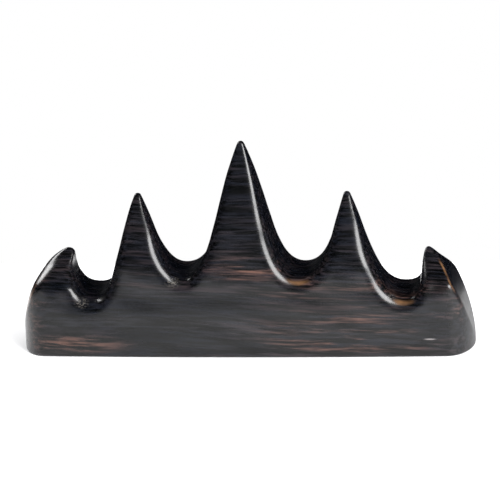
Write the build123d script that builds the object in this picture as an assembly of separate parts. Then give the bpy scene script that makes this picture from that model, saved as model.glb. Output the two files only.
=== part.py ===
from build123d import *
import math
import os

# A brush rest carved from one piece of hardwood: an oval block whose top is cut into
# five pointed peaks, with a round-bottomed groove between each two neighbours.
# The lips are left sharp here, apart from the edge of the underside.
# Millimetres. X runs along the length, the front faces -Y, +Z is up.
# The origin is the centre of the flat underside, under the centre peak.

# ---- block ----
BASE_DEPTH = 35.0         # front to back, at the middle of the length
SIDE_BOW = 1.3            # how far the middle of each long side stands out from its ends
END_ROUND = 9.5           # length of each rounded end
SIDE_LEAN = 7.0           # degrees that the front and the back lean in
END_LEAN = 0.5            # degrees that the two ends lean in

# ---- peaks, from the front: distances along X and heights of the tips ----
CENTRE_HEIGHT = 74.0
SHOULDER_HEIGHT = 55.6
LEFT_HOOK_HEIGHT = 35.8
RIGHT_HOOK_HEIGHT = 35.4
LEFT_SHOULDER_PITCH = 37.5      # centre peak to shoulder
RIGHT_SHOULDER_PITCH = 36.7
LEFT_HOOK_PITCH = 26.0          # shoulder to hook
RIGHT_HOOK_PITCH = 28.1
LEFT_END_REACH = 17.25          # hook to the end of the block
RIGHT_END_REACH = 15.95
TIP_RADIUS = 1.2
LEFT_HOOK_TIP_RADIUS = 2.0      # this hook is blunter

# ---- grooves, from the front: place and height of the lowest line ----
INNER_GROOVE_HEIGHT = 27.3
OUTER_GROOVE_HEIGHT = 20.0
LEFT_INNER_GROOVE = 14.7        # from the left shoulder
RIGHT_INNER_GROOVE = 16.6       # from the right shoulder
LEFT_OUTER_GROOVE = 9.2         # from the left hook
RIGHT_OUTER_GROOVE = 9.0        # from the right hook

# ---- shape of a flank, as shares of the distance from groove bottom to peak ----
LEFT_HOOK_AIM = 0.9             # how far along the groove each peak's flank points at first
LEFT_SHOULDER_LEFT_AIM = 0.1
LEFT_SHOULDER_RIGHT_AIM = 0.5
CENTRE_AIM = 0.1
RIGHT_SHOULDER_LEFT_AIM = 0.35
RIGHT_SHOULDER_RIGHT_AIM = 0.4
RIGHT_HOOK_AIM = 0.25
FLANK_BEND = 0.49               # how much of a flank is close to straight
FLANK_FLOOR = 0.55              # how much of the groove's floor is close to level
HOOK_FLOOR = 0.95               # the same on a hook's upright side

# ---- backs of the hooks ----
LEFT_BACK_ANGLE = 24.0          # degrees below level, at the tip
RIGHT_BACK_ANGLE = 39.0
LEFT_BACK_CROWN = 0.41          # fullness of the curve near the tip, share of its chord
RIGHT_BACK_CROWN = 0.34
HOOK_BACK_FOOT = 0.15           # fullness of the curve near the foot
HOOK_BACK_OVERCUT = 0.4         # how far outside the end the curve comes down

# ---- peaks, from the end ----
TIP_HALF_DEPTH = 1.6            # where the rounding of the tip begins
CENTRE_TIP_LEAN = 23.0          # degrees off upright, close to the tip
SHOULDER_TIP_LEAN = 30.0
HOOK_TIP_LEAN = 38.0
FACE_START_LEAN = 10.0          # degrees off upright where a peak's face leaves the block
FACE_FULLNESS = 0.4             # fullness of the face near the block, share of its chord
FACE_TIP_FULLNESS = 0.35        # fullness of the face near the tip

BASE_ROUND = 0.7                # rounding of the edge of the underside

UP = math.pi / 2
QUARTER_ELLIPSE = 0.5523        # handle length that makes a Bezier curve a quarter ellipse


def turned(radius, angle):
    return Vector(radius * math.cos(angle), radius * math.sin(angle))


class Peak:
    """A tip seen from the front: the circle that rounds it off."""

    def __init__(self, x, height, radius=TIP_RADIUS):
        self.x = x
        self.height = height
        self.radius = radius
        self.centre = Vector(x, height - radius)

    def touch(self, angle):
        return self.centre + turned(self.radius, angle)


class Flank:
    """The side of a peak, from the tip's circle down to the bottom of a groove.
    aim is the share of the way from groove to peak that the flank first points at."""

    def __init__(self, peak, groove, aim, floor):
        across = peak.x - groove.X
        target = groove + Vector(across * aim, 0)
        side = math.copysign(1, across)
        to_target = target - peak.centre
        swing = math.acos(peak.radius / to_target.length)
        self.normal = math.atan2(to_target.Y, to_target.X) - side * swing
        top = peak.touch(self.normal)
        handle = top + (target - top) * FLANK_BEND
        self.downwards = Bezier(top, handle, groove + Vector(across * floor, 0), groove)
        self.upwards = Bezier(groove, groove + Vector(across * floor, 0), handle, top)


def tip_arc(peak, start, end):
    """The rounding of a tip between the angles where its two flanks leave the circle."""
    turn = math.remainder(end - start, 2 * math.pi)
    return ThreePointArc(peak.touch(start), peak.touch(start + turn / 2), peak.touch(end))


LEFT_SHOULDER = Peak(-LEFT_SHOULDER_PITCH, SHOULDER_HEIGHT)
LEFT_HOOK = Peak(LEFT_SHOULDER.x - LEFT_HOOK_PITCH, LEFT_HOOK_HEIGHT, LEFT_HOOK_TIP_RADIUS)
LEFT_END = LEFT_HOOK.x - LEFT_END_REACH
CENTRE = Peak(0, CENTRE_HEIGHT)
RIGHT_SHOULDER = Peak(RIGHT_SHOULDER_PITCH, SHOULDER_HEIGHT)
RIGHT_HOOK = Peak(RIGHT_SHOULDER.x + RIGHT_HOOK_PITCH, RIGHT_HOOK_HEIGHT)
RIGHT_END = RIGHT_HOOK.x + RIGHT_END_REACH
LENGTH = RIGHT_END - LEFT_END

# Lowest line of each groove, with the aims of the flanks on its left and right.
GROOVES = [
    (
        Vector(LEFT_HOOK.x + LEFT_OUTER_GROOVE, OUTER_GROOVE_HEIGHT),
        LEFT_HOOK_AIM,
        LEFT_SHOULDER_LEFT_AIM,
    ),
    (
        Vector(LEFT_SHOULDER.x + LEFT_INNER_GROOVE, INNER_GROOVE_HEIGHT),
        LEFT_SHOULDER_RIGHT_AIM,
        CENTRE_AIM,
    ),
    (
        Vector(RIGHT_SHOULDER.x - RIGHT_INNER_GROOVE, INNER_GROOVE_HEIGHT),
        CENTRE_AIM,
        RIGHT_SHOULDER_LEFT_AIM,
    ),
    (
        Vector(RIGHT_HOOK.x - RIGHT_OUTER_GROOVE, OUTER_GROOVE_HEIGHT),
        RIGHT_SHOULDER_RIGHT_AIM,
        RIGHT_HOOK_AIM,
    ),
]
PEAKS = [LEFT_HOOK, LEFT_SHOULDER, CENTRE, RIGHT_SHOULDER, RIGHT_HOOK]


def hook_back(hook, end_x, angle, crown_share):
    """The outer curve from a hook's tip down to the underside, and its normal at the tip."""
    side = math.copysign(1, end_x)
    slope = math.radians(angle)
    normal = UP - side * slope
    top = hook.touch(normal)
    foot = Vector(end_x + side * HOOK_BACK_OVERCUT, 0)
    chord = (foot - top).length
    crown = top + Vector(side * math.cos(slope), -math.sin(slope)) * chord * crown_share
    return Bezier(top, crown, foot + Vector(0, chord * HOOK_BACK_FOOT), foot), normal


def front_outline():
    """The whole object seen from the front, as a face."""
    left_back, left_normal = hook_back(LEFT_HOOK, LEFT_END, LEFT_BACK_ANGLE, LEFT_BACK_CROWN)
    right_back, right_normal = hook_back(
        RIGHT_HOOK, RIGHT_END, RIGHT_BACK_ANGLE, RIGHT_BACK_CROWN
    )
    edges = [left_back, right_back]
    normal = left_normal
    for index, (bottom, left_aim, right_aim) in enumerate(GROOVES):
        left_peak, right_peak = PEAKS[index:index + 2]
        left_floor = HOOK_FLOOR if left_peak is LEFT_HOOK else FLANK_FLOOR
        right_floor = HOOK_FLOOR if right_peak is RIGHT_HOOK else FLANK_FLOOR
        falling = Flank(left_peak, bottom, left_aim, left_floor)
        rising = Flank(right_peak, bottom, right_aim, right_floor)
        edges += [tip_arc(left_peak, normal, falling.normal), falling.downwards, rising.upwards]
        normal = rising.normal
    edges.append(tip_arc(RIGHT_HOOK, normal, right_normal))
    edges.append(Line(left_back @ 1, right_back @ 1))
    return make_face(edges)


def plan_outline(end_in, side_in):
    """The oval plan of the block, drawn in by so much at its ends and at its sides."""
    half_depth = BASE_DEPTH / 2 - side_in
    corner_depth = half_depth - SIDE_BOW
    right = RIGHT_END - end_in
    left = LEFT_END + end_in
    back = ThreePointArc(
        (left + END_ROUND, corner_depth),
        ((left + right) / 2, half_depth),
        (right - END_ROUND, corner_depth),
    )
    handle = END_ROUND * QUARTER_ELLIPSE
    end_handle = corner_depth * QUARTER_ELLIPSE
    half = [back]
    for end, corner, outwards in ((right, back @ 1, back % 1), (left, back @ 0, -(back % 0))):
        half.append(Bezier(corner, corner + outwards * handle, (end, end_handle), (end, 0)))
    return make_face(half + [edge.mirror(Plane.XZ) for edge in half])


def block():
    """The oval block before its top is carved, with its leaning walls."""
    top = CENTRE_HEIGHT + TIP_RADIUS
    side_in = top * math.tan(math.radians(SIDE_LEAN))
    end_in = top * math.tan(math.radians(END_LEAN))
    return loft([plan_outline(0, 0), Pos(0, 0, top) * plan_outline(end_in, side_in)], ruled=True)


def peak_faces(x_from, x_to, face_start, height, tip_lean):
    """The front and back faces of one peak over its stretch of the length, as a solid to keep."""
    start_lean = math.radians(FACE_START_LEAN)
    end_lean = math.radians(tip_lean)
    bend = Vector(BASE_DEPTH / 2 - face_start * math.tan(math.radians(SIDE_LEAN)), face_start)
    foot = Vector(bend.X + face_start * math.tan(start_lean), 0)
    tip_side = Vector(TIP_HALF_DEPTH, height - TIP_RADIUS)
    apex = tip_side + Vector(-TIP_HALF_DEPTH, TIP_HALF_DEPTH / math.tan(end_lean))
    chord = (tip_side - bend).length
    face = Bezier(
        bend,
        bend + turned(chord * FACE_FULLNESS, UP + start_lean),
        tip_side - turned(chord * FACE_TIP_FULLNESS, UP + end_lean),
        tip_side,
    )
    half = [Line((0, 0), foot), Line(foot, bend), face, Line(tip_side, apex)]
    outline = make_face(half + [edge.mirror(Plane.YZ) for edge in half])
    return Pos(x_from, 0, 0) * extrude(Plane.YZ * outline, x_to - x_from)


def carved_body():
    """The whole rest, which is one piece of wood."""
    cuts = [LEFT_END, *(bottom.X for bottom, _, _ in GROOVES), RIGHT_END]
    starts = [OUTER_GROOVE_HEIGHT, *[INNER_GROOVE_HEIGHT] * 3, OUTER_GROOVE_HEIGHT]
    leans = [HOOK_TIP_LEAN, SHOULDER_TIP_LEAN, CENTRE_TIP_LEAN, SHOULDER_TIP_LEAN, HOOK_TIP_LEAN]
    faces = Part()
    for index, peak in enumerate(PEAKS):
        faces += peak_faces(cuts[index], cuts[index + 1], starts[index], peak.height, leans[index])
    uncut = block() & faces
    outline = extrude(Plane.XZ * front_outline(), BASE_DEPTH, both=True)
    sharp = (uncut & outline).solid()
    underside = sharp.edges().group_by(Axis.Z)[0]
    return sharp.fillet(BASE_ROUND, underside)


os.makedirs("parts", exist_ok=True)
body = carved_body()
export_step(body, "parts/carved_body.step")
print("length", round(LENGTH, 3))
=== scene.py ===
import math

import bmesh
import bpy
import numpy as np
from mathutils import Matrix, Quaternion, Vector
from mathutils.bvhtree import BVHTree


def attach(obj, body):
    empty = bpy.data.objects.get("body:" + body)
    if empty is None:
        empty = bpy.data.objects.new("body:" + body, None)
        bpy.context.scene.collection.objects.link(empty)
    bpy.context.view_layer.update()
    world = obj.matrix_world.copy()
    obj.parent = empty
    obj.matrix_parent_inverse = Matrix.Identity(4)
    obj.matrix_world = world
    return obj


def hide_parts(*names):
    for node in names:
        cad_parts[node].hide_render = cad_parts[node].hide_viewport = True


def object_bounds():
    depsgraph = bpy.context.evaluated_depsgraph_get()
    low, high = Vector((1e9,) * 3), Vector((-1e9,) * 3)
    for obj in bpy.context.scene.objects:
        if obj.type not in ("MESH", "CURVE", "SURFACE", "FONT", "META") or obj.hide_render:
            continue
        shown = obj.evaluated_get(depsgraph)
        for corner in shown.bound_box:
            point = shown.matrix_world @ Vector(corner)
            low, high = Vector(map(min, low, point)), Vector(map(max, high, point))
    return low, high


# A brush rest carved from one piece of near-black hardwood, with five peaks and four grooves.
# Metres; lengths that read better in millimetres are written as a number times MM.
MM = 0.001

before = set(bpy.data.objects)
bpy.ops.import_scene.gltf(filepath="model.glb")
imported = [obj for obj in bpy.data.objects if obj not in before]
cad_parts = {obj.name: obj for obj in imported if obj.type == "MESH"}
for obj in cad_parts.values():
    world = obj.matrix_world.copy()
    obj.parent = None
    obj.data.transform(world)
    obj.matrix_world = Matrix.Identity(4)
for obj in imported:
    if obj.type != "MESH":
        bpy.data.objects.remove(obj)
CAD_LOW, CAD_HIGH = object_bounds()

# ---- fine mesh ----
WELD_GAP = 0.001 * MM
VOXEL = 0.45 * MM               # edge length of the fine mesh
EXTRUDED_LIMIT = 0.09           # a face whose normal has less Y than this belongs to a groove
UNDERSIDE_LIMIT = -0.5          # unless its normal has less Z than this
END_START = 72 * MM             # distance from the middle where the ends of the block begin
END_FACE_TILT = 0.03            # Z of the normal that tells a hook's back from the end below it

# ---- lips ----
LIP_ROUND_MAX = 3.9 * MM        # rounding of a lip, level with the grooves
LIP_ROUND_MIN = 0.6 * MM        # rounding of a lip at a tip
LIP_ROUND_SHARE = 0.34          # growth of the rounding with the half depth of the peak
LIP_ROUND_LEAST = 0.2 * MM      # rounding that is left everywhere
LEFT_HOOK_X = -63.5 * MM        # the outer edges of the hooks are rounded on their own, beyond
RIGHT_HOOK_X = 64.8 * MM        # these two places
LEFT_BACK_ROUND = 3.4 * MM
RIGHT_BACK_ROUND = 1.5 * MM     # this hook is crisper
BACK_ROUND_SHARE = 0.6          # the most of the half depth that this rounding takes
BACK_ROUND_RISE = (4 * MM, 26 * MM)    # heights between which it comes in
BACK_ROUND_FADE = 2 * MM        # length along X over which it takes over from a lip's
LIP_PASSES = 3                  # times that the points are moved onto the rounded body
SLANT_LEAST = 0.3               # keeps a point from moving far where the two surfaces oppose

# ---- smoothing ----
BLEND_ROUNDS = 260              # rounds of smoothing that blend the peaks' faces into the block
BLEND_PAST_LIP = (-0.5 * MM, 3 * MM)   # it comes in over this distance past a lip's rounding
BLEND_ENDS = (74 * MM, 64 * MM)        # and is gone, and whole, this far from the middle
LAST_ROUNDS = 16                # rounds over the whole surface
LAST_SHARE = 0.2                # strength of these on the sharpest lips
FOOT_HEIGHT = 0.8 * MM          # below this nothing is smoothed, so that the foot stays flat
FOOT_FADE = 3 * MM
CRISP_RADIUS = 0.6 * MM         # lips rounded less than this are smoothed least
BROAD_FADE = 2 * MM

# ---- hand work ----
# Walls that come further into their groove at the front than at the back: tip of the peak,
# bottom of the groove (both X), height of the tip, height where the shift is whole, shift.
TWISTED_WALLS = (
    (-64.2 * MM, -54.3 * MM, 31.0 * MM, 24.0 * MM, 2.0 * MM),
    (-37.5 * MM, -22.8 * MM, 56.0 * MM, 41.0 * MM, 2.8 * MM),
    (36.7 * MM, 55.8 * MM, 56.0 * MM, 44.0 * MM, 1.5 * MM),
)
TWIST_DEPTH = (11 * MM, -15 * MM)      # Y where the shift begins and where it is whole
TWIST_TIP = (-2.5 * MM, 2 * MM)        # X from the tip, in the same way
TWIST_BOTTOM = (9 * MM, -2 * MM)       # X from the groove's bottom
TWIST_RISE = (8 * MM, 23 * MM)         # height
SEED = 7
CARVE_WAVES = 9
CARVE_LENGTHS = (40 * MM, 26 * MM, 24 * MM)
CARVE_DEPTH = 0.05 * MM         # uneven surface left by hand work
CARVE_SHARE = 0.25              # how much of it the sharpest lips get

# ---- camera ----
TARGET = Vector((0.0, 0.0, 35.0 * MM))
AZIMUTH = 8.07                  # degrees towards +X from straight in front
ELEVATION = 15.95
ROLL = 2.56
DISTANCE = 0.865
LENS = 176.2
SENSOR_WIDTH = 36
SHIFT_X = 0.0098
SHIFT_Y = -0.0038
CLIP_START = 0.05

# ---- stage ----
# Left, right, front and back. It ends close behind the rest, so that the flanks of the
# peaks reflect the dim room and not the floor.
FLOOR_EDGES = (-1.2, 1.2, -1.8, 0.1)
FLOOR_COLOUR = (0.8, 0.8, 0.803, 1)
FLOOR_ROUGHNESS = 0.8
FLOOR_SPECULAR = 0.1
# Name, azimuth, elevation, distance, width, height, radiance.
SOFTBOXES = (
    ("key", 48, 30, 1.0, 0.66, 0.6, 16),
    ("rim", -125, 38, 1.1, 0.42, 0.45, 11),
)
ROOM_FRONT = (12, 20)           # azimuth and elevation of the lightest part of the room
ROOM_DARK = (0.002, 0.003, 0.005)
ROOM_LIGHT = (0.030, 0.042, 0.056)
EVEN_LIGHT = (1.06, 1.06, 1.07)
BACKDROP = (1.0, 1.0, 1.0)

# ---- wood ----
# Scale of the drift of the grain, its shift along Y and Z, and its fall to the right.
DRIFT_SCALE = (14, 30, 30)
DRIFT_SHIFT = (0, 5 * MM, 6 * MM)
GRAIN_FALL = -2.2               # degrees
DARK_WOOD = ((0.0008, 0.0011, 0.0020), (0.0032, 0.0032, 0.0042))
BROWN_WOOD = ((0.011, 0.0060, 0.0050), (0.032, 0.0155, 0.011))
# Pale golden lips: partly wear, partly a painted glint.
WEAR_AND_GLINT_WOOD = (0.19, 0.095, 0.04)
# Pale specks on three lips: partly wear, partly painted highlight.
WEAR_AND_HIGHLIGHT_SPECK_COLOUR = (0.075, 0.068, 0.06)
# Colour of a pale fleck low on the right of the front.
PALE_FLECK_COLOUR = (0.17, 0.155, 0.155)
# Places on the body: centre, size and strength.
RED_EVERYWHERE = 0.12
RED_PLACES = (
    ((-36 * MM, -16 * MM, 29 * MM), (14 * MM, 12 * MM, 5 * MM), 0.5),
    ((0 * MM, -14 * MM, 31 * MM), (16 * MM, 12 * MM, 6 * MM), 1.2),
    ((42 * MM, -17 * MM, 18 * MM), (50 * MM, 13 * MM, 13 * MM), 1.2),
    ((36 * MM, -14 * MM, 6 * MM), (40 * MM, 16 * MM, 5 * MM), 1.4),
    ((-77 * MM, -8 * MM, 20 * MM), (10 * MM, 14 * MM, 16 * MM), 1.6),
)
RED_FOOT = ((-61 * MM, -16 * MM, 4.6 * MM), (25 * MM, 12 * MM, 4 * MM), 0.9)
# Lips that get the pale golden colour: partly wear, partly a painted glint.
WEAR_AND_GLINT_PLACES = (
    ((19 * MM, -15 * MM, 25 * MM), (7 * MM, 5 * MM, 4 * MM), 1.0),
    ((56 * MM, -15 * MM, 18 * MM), (6 * MM, 5 * MM, 4 * MM), 1.0),
    ((70 * MM, -9 * MM, 26 * MM), (6 * MM, 8 * MM, 10 * MM), 1.0),
    ((-77 * MM, -7 * MM, 18 * MM), (6 * MM, 10 * MM, 13 * MM), 1.0),
)
WEAR_AND_GLINT_STRENGTH = 1.6
# Lips with pale specks: partly wear, partly painted highlight where their highlights break up.
WEAR_AND_HIGHLIGHT_SPECK_PLACES = (
    ((-57.2 * MM, -15 * MM, 19.2 * MM), (3 * MM, 6 * MM, 2.2 * MM), 1.0),
    ((-24.2 * MM, -14.5 * MM, 26.4 * MM), (3.2 * MM, 6 * MM, 2.2 * MM), 1.0),
    ((52.4 * MM, -15 * MM, 20.5 * MM), (2.8 * MM, 6 * MM, 2.2 * MM), 1.0),
)
WEAR_AND_HIGHLIGHT_SPECK_STRENGTH = 1.5
# The pale fleck low on the right of the front.
PALE_FLECK = ((65.5 * MM, -16.5 * MM, 6.2 * MM), (2.6 * MM, 6 * MM, 0.36 * MM), 1.6)
END_GRAIN = ((84 * MM, -2 * MM, 12 * MM), (14 * MM, 30 * MM, 34 * MM), 0.3)
ROUGHNESS = 0.18
STREAK_ROUGHNESS = 0.18         # how much rougher the lightest streaks are
WOOD_IOR = 1.47
POLISH = 0.1
POLISH_ROUGHNESS = 0.08
POLISH_IOR = 1.4
BUMP_STRENGTH = 0.08
BUMP_DISTANCE = 0.08 * MM


def cad_surface(node):
    """The node's welded mesh, and its corner points, triangles, their normals and middles."""
    source = bmesh.new()
    source.from_mesh(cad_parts[node].data)
    bmesh.ops.remove_doubles(source, verts=source.verts, dist=WELD_GAP)
    bmesh.ops.triangulate(source, faces=source.faces)
    source.normal_update()
    points = [v.co.copy() for v in source.verts]
    triangles = [tuple(v.index for v in f.verts) for f in source.faces]
    normals = np.array([f.normal for f in source.faces])
    middles = np.array([f.calc_center_median() for f in source.faces])
    mesh = bpy.data.meshes.new(node + "_welded")
    source.to_mesh(mesh)
    source.free()
    return mesh, points, triangles, normals, middles


def voxel_remesh(mesh, size):
    """An even, fine copy of the mesh."""
    holder = bpy.data.objects.new("remesh", mesh)
    bpy.context.scene.collection.objects.link(holder)
    remesh = holder.modifiers.new("remesh", "REMESH")
    remesh.mode = "VOXEL"
    remesh.voxel_size = size
    remesh.use_smooth_shade = True
    evaluated = holder.evaluated_get(bpy.context.evaluated_depsgraph_get())
    result = bpy.data.meshes.new_from_object(evaluated)
    bpy.data.objects.remove(holder)
    return result


def get_points(mesh):
    points = np.empty(len(mesh.vertices) * 3)
    mesh.vertices.foreach_get("co", points)
    return points.reshape(-1, 3)


def set_points(mesh, points):
    mesh.vertices.foreach_set("co", points.astype(np.float32).ravel())
    mesh.update()


def point_normals(mesh):
    normals = np.empty(len(mesh.vertices) * 3)
    mesh.vertices.foreach_get("normal", normals)
    return normals.reshape(-1, 3)


def edge_ends(mesh):
    edges = np.empty(len(mesh.edges) * 2, int)
    mesh.edges.foreach_get("vertices", edges)
    return edges.reshape(-1, 2)


def ramp(values, start, end):
    """0 at start to 1 at end, smoothly."""
    share = np.clip((values - start) / (end - start), 0, 1)
    return share * share * (3 - 2 * share)


def nearest(tree, points):
    """Distance inside the surface, outward normal and closest point, for each point."""
    normals = np.empty((len(points), 3))
    closest = np.empty((len(points), 3))
    for i, point in enumerate(points):
        where, normal, _, _ = tree.find_nearest(point)
        normals[i] = normal
        closest[i] = where
    inside = np.einsum("ij,ij->i", closest - points, normals)
    gap = np.linalg.norm(closest - points, axis=1)
    return np.where(inside < 0, inside, gap), normals, closest


def lip_radius(points, face_points):
    """How far the lip nearest to each point is rounded."""
    half_depth = np.abs(face_points[:, 1])
    radius = np.clip(LIP_ROUND_SHARE * half_depth, LIP_ROUND_MIN, LIP_ROUND_MAX)
    rise = ramp(points[:, 2], *BACK_ROUND_RISE)
    for beyond, back_round in (
        (LEFT_HOOK_X - points[:, 0], LEFT_BACK_ROUND),
        (points[:, 0] - RIGHT_HOOK_X, RIGHT_BACK_ROUND),
    ):
        share = np.clip(beyond / BACK_ROUND_FADE + 0.5, 0, 1)
        back = np.minimum(back_round * rise, BACK_ROUND_SHARE * half_depth)
        radius = radius + (back - radius) * share
    return np.maximum(radius, LIP_ROUND_LEAST)


def round_lips(points, grooves, faces):
    """Moves the points onto the body with rounded lips.

    Also gives how much of a lip each point is on, the rounding there, and the distance to
    the grooves, all from before the last move.
    """
    for _ in range(LIP_PASSES):
        to_groove, groove_normal, _ = nearest(grooves, points)
        to_face, face_normal, face_point = nearest(faces, points)
        radius = lip_radius(points, face_point)
        past_groove = np.maximum(radius - to_groove, 0)
        past_face = np.maximum(radius - to_face, 0)
        length = np.hypot(past_groove, past_face)
        on_lip = (past_groove > 0) & (past_face > 0)
        outside = np.where(on_lip, length - radius, -np.minimum(to_groove, to_face))
        some = np.maximum(length, 1e-9)
        by_groove = np.where(on_lip, past_groove / some, to_groove < to_face)
        by_face = np.where(on_lip, past_face / some, to_groove >= to_face)
        inward = -(groove_normal * by_groove[:, None] + face_normal * by_face[:, None])
        size = np.maximum(np.einsum("ij,ij->i", inward, inward), SLANT_LEAST)
        points = points + inward * (outside / size)[:, None]
    lip = np.where(on_lip, np.minimum(past_groove, past_face) / radius, 0)
    return points, lip, radius, to_groove


def soften(points, edges, weight, rounds):
    """Plain smoothing, which also rounds creases."""
    first, second = edges.T
    count = np.bincount(edges.ravel(), minlength=len(points))[:, None]
    for _ in range(rounds):
        total = np.empty_like(points)
        for axis in range(3):
            line = points[:, axis]
            total[:, axis] = np.bincount(first, line[second], len(points))
            total[:, axis] += np.bincount(second, line[first], len(points))
        points = points + (total / count - points) * weight[:, None] * 0.5
    return points


def twist_walls(points):
    """Brings the front of some groove walls further into the groove."""
    front = ramp(points[:, 1], *TWIST_DEPTH)
    rise = ramp(points[:, 2], *TWIST_RISE)
    for tip, bottom, top, whole, shift in TWISTED_WALLS:
        across = ramp(points[:, 0], tip + TWIST_TIP[0], tip + TWIST_TIP[1])
        across *= ramp(points[:, 0], bottom + TWIST_BOTTOM[0], bottom + TWIST_BOTTOM[1])
        height = ramp(points[:, 2], top, whole) * rise
        points[:, 0] += shift * front * across * height
    return points


def waves(points, lengths, count, rng):
    """A smooth, uneven pattern, mostly between -1 and 1, as a sum of waves."""
    total = np.zeros(len(points))
    for _ in range(count):
        direction = rng.normal(size=3) / np.array(lengths)
        total += np.sin(points @ direction * 2 * math.pi + rng.uniform(0, 2 * math.pi))
    return total / math.sqrt(count)


def carved_wood():
    """The visible body: the CAD body on a fine mesh, with rounded lips and hand-worked faces."""
    welded, corners, triangles, normals, middles = cad_surface("carved_body")
    extruded = np.abs(normals[:, 1]) < EXTRUDED_LIMIT
    extruded &= normals[:, 2] > UNDERSIDE_LIMIT
    at_end = np.abs(middles[:, 0]) > END_START
    extruded &= ~at_end | (normals[:, 2] > END_FACE_TILT)
    grooves = BVHTree.FromPolygons(corners, [t for t, e in zip(triangles, extruded) if e])
    faces = BVHTree.FromPolygons(corners, [t for t, e in zip(triangles, extruded) if not e])
    mesh = voxel_remesh(welded, VOXEL)
    points, lip, radius, to_groove = round_lips(get_points(mesh), grooves, faces)
    edges = edge_ends(mesh)
    above_foot = np.clip((points[:, 2] - FOOT_HEIGHT) / FOOT_FADE, 0, 1)
    broad = np.clip((radius - CRISP_RADIUS) / BROAD_FADE, 0, 1)
    inner = ramp(to_groove - radius, *BLEND_PAST_LIP)
    inner *= ramp(np.abs(points[:, 0]), *BLEND_ENDS)
    points = soften(points, edges, above_foot * inner, BLEND_ROUNDS)
    last = above_foot * (LAST_SHARE + (1 - LAST_SHARE) * broad)
    points = soften(points, edges, last, LAST_ROUNDS)
    points = twist_walls(points)
    set_points(mesh, points)
    rng = np.random.default_rng(SEED)
    carving = waves(points, CARVE_LENGTHS, CARVE_WAVES, rng)
    depth = CARVE_DEPTH * above_foot * (CARVE_SHARE + (1 - CARVE_SHARE) * broad)
    points = points + point_normals(mesh) * (carving * depth)[:, None]
    points = np.clip(points, np.array(CAD_LOW), np.array(CAD_HIGH))
    set_points(mesh, points)
    attribute = mesh.attributes.new("lip", "FLOAT", "POINT")
    attribute.data.foreach_set("value", lip.astype(np.float32))
    mesh.materials.clear()
    mesh.shade_smooth()
    wood = bpy.data.objects.new("carved_wood", mesh)
    bpy.context.scene.collection.objects.link(wood)
    return wood


class Nodes:
    """Short calls that add and join shader nodes."""

    def __init__(self, owner):
        owner.use_nodes = True
        self.tree = owner.node_tree
        self.tree.nodes.clear()

    def add(self, kind, **settings):
        node = self.tree.nodes.new("ShaderNode" + kind)
        for name, value in settings.items():
            setattr(node, name, value)
        return node

    def join(self, output, socket):
        self.tree.links.new(output, socket)

    def value(self, source, socket):
        """Sets the socket to a number, or joins an output to it."""
        if isinstance(source, (int, float)):
            socket.default_value = source
        else:
            self.join(source, socket)

    def math(self, operation, a, b=0.0, clamp=False):
        node = self.add("Math", operation=operation, use_clamp=clamp)
        self.value(a, node.inputs[0])
        self.value(b, node.inputs[1])
        return node.outputs[0]

    def times(self, a, b, clamp=False):
        return self.math("MULTIPLY", a, b, clamp)

    def plus(self, a, b, clamp=False):
        return self.math("ADD", a, b, clamp)

    def vector_math(self, operation, a, b):
        """The node; b is an output, or a tuple or Vector of three numbers."""
        node = self.add("VectorMath", operation=operation)
        self.join(a, node.inputs[0])
        if isinstance(b, (tuple, Vector)):
            node.inputs[1].default_value = b
        else:
            self.join(b, node.inputs[1])
        return node

    def steps(self, source, *stops):
        """A grey ramp through (place, level) stops."""
        node = self.add("ValToRGB")
        elements = node.color_ramp.elements
        while len(elements) < len(stops):
            elements.new(0.5)
        for element, (place, level) in zip(elements, stops):
            element.position = place
            element.color = (level, level, level, 1)
        self.join(source, node.inputs[0])
        return node.outputs[0]

    def mix(self, share, a, b, blend="MIX"):
        node = self.add("Mix", data_type="RGBA", blend_type=blend)
        self.value(share, node.inputs["Factor"])
        for colour, socket in ((a, node.inputs[6]), (b, node.inputs[7])):
            if isinstance(colour, tuple):
                socket.default_value = (*colour, 1)
            else:
                self.join(colour, socket)
        return node.outputs[2]

    def stretched(self, place, scale):
        node = self.add("Mapping", vector_type="POINT")
        self.join(place, node.inputs["Vector"])
        node.inputs["Scale"].default_value = scale
        return node.outputs[0]

    def noise_node(self, place, scale, detail):
        node = self.add("TexNoise")
        self.join(self.stretched(place, scale), node.inputs["Vector"])
        node.inputs["Scale"].default_value = 1
        node.inputs["Detail"].default_value = detail
        return node

    def noise(self, place, scale, detail=3.0, rough=0.5, distortion=0.0):
        node = self.noise_node(place, scale, detail)
        node.inputs["Roughness"].default_value = rough
        node.inputs["Distortion"].default_value = distortion
        return node.outputs[0]

    def patch(self, place, centre, size):
        """1 at the centre, falling to 0 at the edge of an ellipsoid."""
        shift = self.vector_math("SUBTRACT", place, centre)
        share = self.vector_math("DIVIDE", shift.outputs[0], size)
        length = self.add("VectorMath", operation="LENGTH")
        self.join(share.outputs[0], length.inputs[0])
        return self.math("SUBTRACT", 1.0, length.outputs["Value"], clamp=True)

    def patches(self, place, rows, total=0.0):
        """The total with a patch added for each row of centre, size and strength."""
        for centre, size, strength in rows:
            patch = self.times(self.patch(place, centre, size), strength)
            total = self.plus(patch, total)
        return total


def grain_place(n, place):
    """Coordinates of the grain: it runs along X, drifts a little, and falls to the right."""
    drift = n.noise_node(place, DRIFT_SCALE, 1)
    centred = n.vector_math("SUBTRACT", drift.outputs["Color"], (0.5, 0.5, 0.5))
    bend = n.vector_math("MULTIPLY", centred.outputs[0], DRIFT_SHIFT)
    bent = n.vector_math("ADD", place, bend.outputs[0])
    slope = n.add("Mapping", vector_type="POINT")
    n.join(bent.outputs[0], slope.inputs["Vector"])
    slope.inputs["Rotation"].default_value = (0, math.radians(GRAIN_FALL), 0)
    return slope.outputs[0]


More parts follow.
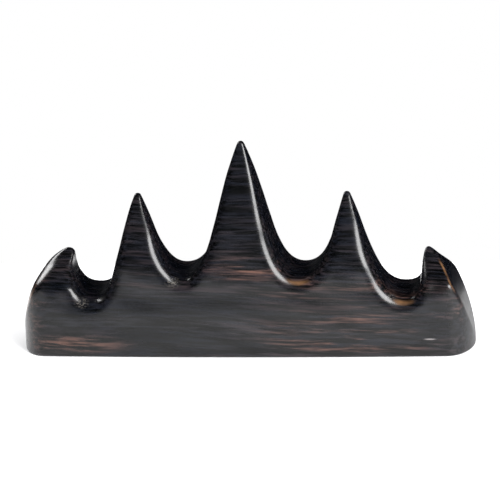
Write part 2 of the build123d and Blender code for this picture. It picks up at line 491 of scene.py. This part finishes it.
def grain_colour(n, place, grain, fibres, streaks):
    """Near-black wood with red-brown streaks, stronger in some places."""
    bands = n.noise(grain, (12, 110, 150), 3, 0.55, 0.4)
    red = n.times(
        n.steps(streaks, (0.44, 0), (0.60, 1)),
        n.steps(bands, (0.40, 0.15), (0.56, 1)),
    )
    red = n.times(red, n.patches(place, RED_PLACES, RED_EVERYWHERE), clamp=True)
    centre, size, strength = RED_FOOT
    red = n.plus(red, n.times(n.patch(place, centre, size), strength), clamp=True)
    dark = n.mix(n.steps(bands, (0.35, 0), (0.65, 1)), *DARK_WOOD)
    brown = n.mix(n.steps(fibres, (0.35, 0), (0.65, 1)), *BROWN_WOOD)
    thread = n.steps(fibres, (0.42, 0.0), (0.60, 4.0))
    return n.mix(1.0, n.mix(red, dark, brown), thread, "MULTIPLY")


def wear_and_glint_lips(n, place, grain, wood):
    """Pale golden colour on the lips, in a few places: partly wear, partly a painted glint where
    a lip catches the light.
    """
    lip = n.add("Attribute", attribute_type="GEOMETRY", attribute_name="lip").outputs["Fac"]
    edge = n.steps(lip, (0.45, 0), (0.68, 1))
    clouds = n.noise(grain, (90, 120, 120), 3, 0.6)
    wear_and_glint = n.times(edge, n.steps(clouds, (0.36, 0.15), (0.6, 1)))
    near = n.times(n.patches(place, WEAR_AND_GLINT_PLACES), WEAR_AND_GLINT_STRENGTH, clamp=True)
    return n.mix(n.times(wear_and_glint, near), wood, WEAR_AND_GLINT_WOOD)


def marks(n, place, wood):
    """Pale specks on three lips, partly wear and partly painted highlight where the lips'
    highlights break up, and a pale fleck low on the right of the front.
    """
    wear_and_highlight_specks = n.steps(n.noise(place, (1300, 2200, 2200), 2, 0.6), (0.48, 0), (0.62, 1))
    near = n.times(n.patches(place, WEAR_AND_HIGHLIGHT_SPECK_PLACES), WEAR_AND_HIGHLIGHT_SPECK_STRENGTH, clamp=True)
    wood = n.mix(n.times(wear_and_highlight_specks, near), wood, WEAR_AND_HIGHLIGHT_SPECK_COLOUR)
    centre, size, strength = PALE_FLECK
    pale_fleck = n.times(n.patch(place, centre, size), strength, clamp=True)
    return n.mix(pale_fleck, wood, PALE_FLECK_COLOUR)


def polish(n, place, streaks, shader):
    """Gloss of the wood, duller on the right-hand end."""
    roughness = n.plus(n.times(streaks, STREAK_ROUGHNESS), ROUGHNESS)
    centre, size, strength = END_GRAIN
    end_grain = n.times(n.patch(place, centre, size), strength)
    n.join(n.plus(roughness, end_grain, clamp=True), shader.inputs["Roughness"])
    shader.inputs["IOR"].default_value = WOOD_IOR
    shader.inputs["Coat Weight"].default_value = POLISH
    shader.inputs["Coat Roughness"].default_value = POLISH_ROUGHNESS
    shader.inputs["Coat IOR"].default_value = POLISH_IOR


def pores(n, grain, fibres, shader):
    """Faint relief of the fibres and pores."""
    pits = n.steps(n.noise(grain, (220, 2600, 2600), 2, 0.5), (0.30, 0), (0.40, 1))
    bump = n.add("Bump")
    bump.inputs["Strength"].default_value = BUMP_STRENGTH
    bump.inputs["Distance"].default_value = BUMP_DISTANCE
    n.join(n.plus(n.times(fibres, 0.5), n.times(pits, 0.5)), bump.inputs["Height"])
    n.join(bump.outputs[0], shader.inputs["Normal"])


def hardwood():
    material = bpy.data.materials.new("dark_hardwood")
    n = Nodes(material)
    place = n.add("TexCoord").outputs["Object"]
    grain = grain_place(n, place)
    fibres = n.noise(grain, (70, 1000, 1150), 4, 0.65)
    streaks = n.noise(grain, (24, 330, 480), 4, 0.62, 0.25)
    wood = grain_colour(n, place, grain, fibres, streaks)
    wood = wear_and_glint_lips(n, place, grain, wood)
    wood = marks(n, place, wood)
    shader = n.add("BsdfPrincipled")
    n.join(wood, shader.inputs["Base Color"])
    polish(n, place, streaks, shader)
    pores(n, grain, fibres, shader)
    n.join(shader.outputs[0], n.add("OutputMaterial").inputs["Surface"])
    return material


def floor():
    mesh = bpy.data.meshes.new("floor")
    left, right, front, back = FLOOR_EDGES
    corners = [(left, front, 0), (right, front, 0), (right, back, 0), (left, back, 0)]
    mesh.from_pydata(corners, [], [(0, 1, 2, 3)])
    table = bpy.data.objects.new("floor", mesh)
    bpy.context.scene.collection.objects.link(table)
    material = bpy.data.materials.new("pale_floor")
    n = Nodes(material)
    shader = n.add("BsdfPrincipled")
    shader.inputs["Base Color"].default_value = FLOOR_COLOUR
    shader.inputs["Roughness"].default_value = FLOOR_ROUGHNESS
    shader.inputs["Specular IOR Level"].default_value = FLOOR_SPECULAR
    n.join(shader.outputs[0], n.add("OutputMaterial").inputs["Surface"])
    mesh.materials.append(material)


def direction(azimuth, elevation):
    """Unit vector towards a place this many degrees to the right of the front, and up."""
    a = math.radians(azimuth)
    e = math.radians(elevation)
    return Vector((math.sin(a) * math.cos(e), -math.cos(a) * math.cos(e), math.sin(e)))


def softbox(name, azimuth, elevation, distance, width, height, radiance):
    light = bpy.data.lights.new(name, "AREA")
    light.shape = "RECTANGLE"
    light.size = width
    light.size_y = height
    light.energy = radiance * width * height * math.pi
    lamp = bpy.data.objects.new(name, light)
    bpy.context.scene.collection.objects.link(lamp)
    towards = direction(azimuth, elevation)
    lamp.location = TARGET + towards * distance
    lamp.rotation_mode = "QUATERNION"
    lamp.rotation_quaternion = towards.to_track_quat("Z", "Y")


def room():
    """Reflections see a dim room, lighter in front; matt surfaces and the camera see white."""
    world = bpy.data.worlds.new("room")
    n = Nodes(world)
    view = n.add("TexCoord").outputs["Generated"]
    facing = n.vector_math("DOT_PRODUCT", view, direction(*ROOM_FRONT))
    share = n.steps(facing.outputs["Value"], (0.3, 0), (0.9, 1))
    dim = n.mix(share, ROOM_DARK, ROOM_LIGHT)
    path = n.add("LightPath")
    even = n.mix(path.outputs["Is Diffuse Ray"], dim, EVEN_LIGHT)
    seen = n.mix(path.outputs["Is Camera Ray"], even, BACKDROP)
    background = n.add("Background")
    n.join(seen, background.inputs["Color"])
    n.join(background.outputs[0], n.add("OutputWorld").inputs["Surface"])
    bpy.context.scene.world = world
    bpy.context.scene.view_settings.view_transform = "Standard"


def camera():
    data = bpy.data.cameras.new("camera")
    data.lens = LENS
    data.sensor_width = SENSOR_WIDTH
    data.shift_x = SHIFT_X
    data.shift_y = SHIFT_Y
    data.clip_start = CLIP_START
    eye = bpy.data.objects.new("camera", data)
    bpy.context.scene.collection.objects.link(eye)
    back = direction(AZIMUTH, ELEVATION)
    roll = Quaternion((0, 0, 1), math.radians(-ROLL))
    eye.location = TARGET + back * DISTANCE
    eye.rotation_mode = "QUATERNION"
    eye.rotation_quaternion = back.to_track_quat("Z", "Y") @ roll
    bpy.context.scene.camera = eye


body = carved_wood()
body.data.materials.append(hardwood())
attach(body, "root")
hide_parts("carved_body")
floor()
room()
for row in SOFTBOXES:
    softbox(*row)
camera()
